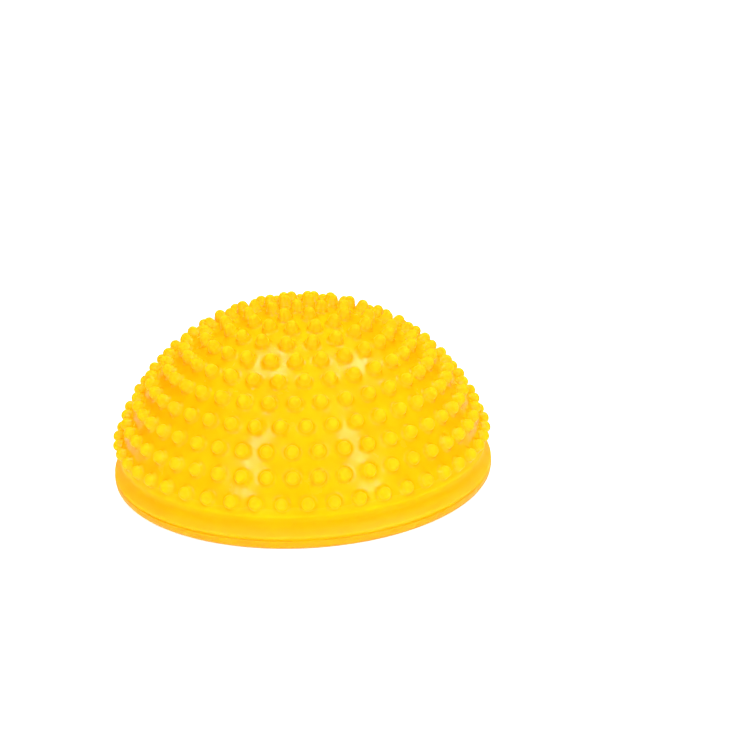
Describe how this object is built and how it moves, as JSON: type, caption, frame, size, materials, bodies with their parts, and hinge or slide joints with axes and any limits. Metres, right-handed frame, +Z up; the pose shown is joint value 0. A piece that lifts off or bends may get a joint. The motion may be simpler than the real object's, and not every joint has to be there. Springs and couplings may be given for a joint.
{
  "type": "spiky balance pod",
  "caption": "Soft hollow half-ball for balance training and foot massage: a dome covered with rounded nubs on a flat base disc with an air valve and push-in plug.",
  "frame": {"origin": "centre of the round base at floor level", "axes": "+Z up along the pod's axis through the nub at the pole; -Y is the front; the pod is the same all round but for the bearings of its nubs"},
  "size_m": [0.1604, 0.1604, 0.0751],
  "materials": {
    "dome_pvc": "satin",
    "base_pvc": "satin",
    "valve_pvc": "satin",
    "plug_plastic": "satin"
  },
  "bodies": {
    "pod": {"dome_shell": "dome_pvc", "base_disc": "base_pvc", "valve_seat": "valve_pvc"},
    "plug": {"valve_plug": "plug_plastic"}
  },
  "joints": [
    {"name": "plug_pull", "type": "slide", "parent": "pod", "child": "plug", "axis": [0, 0, -1], "range_m": [0, 0.018]}
  ]
}
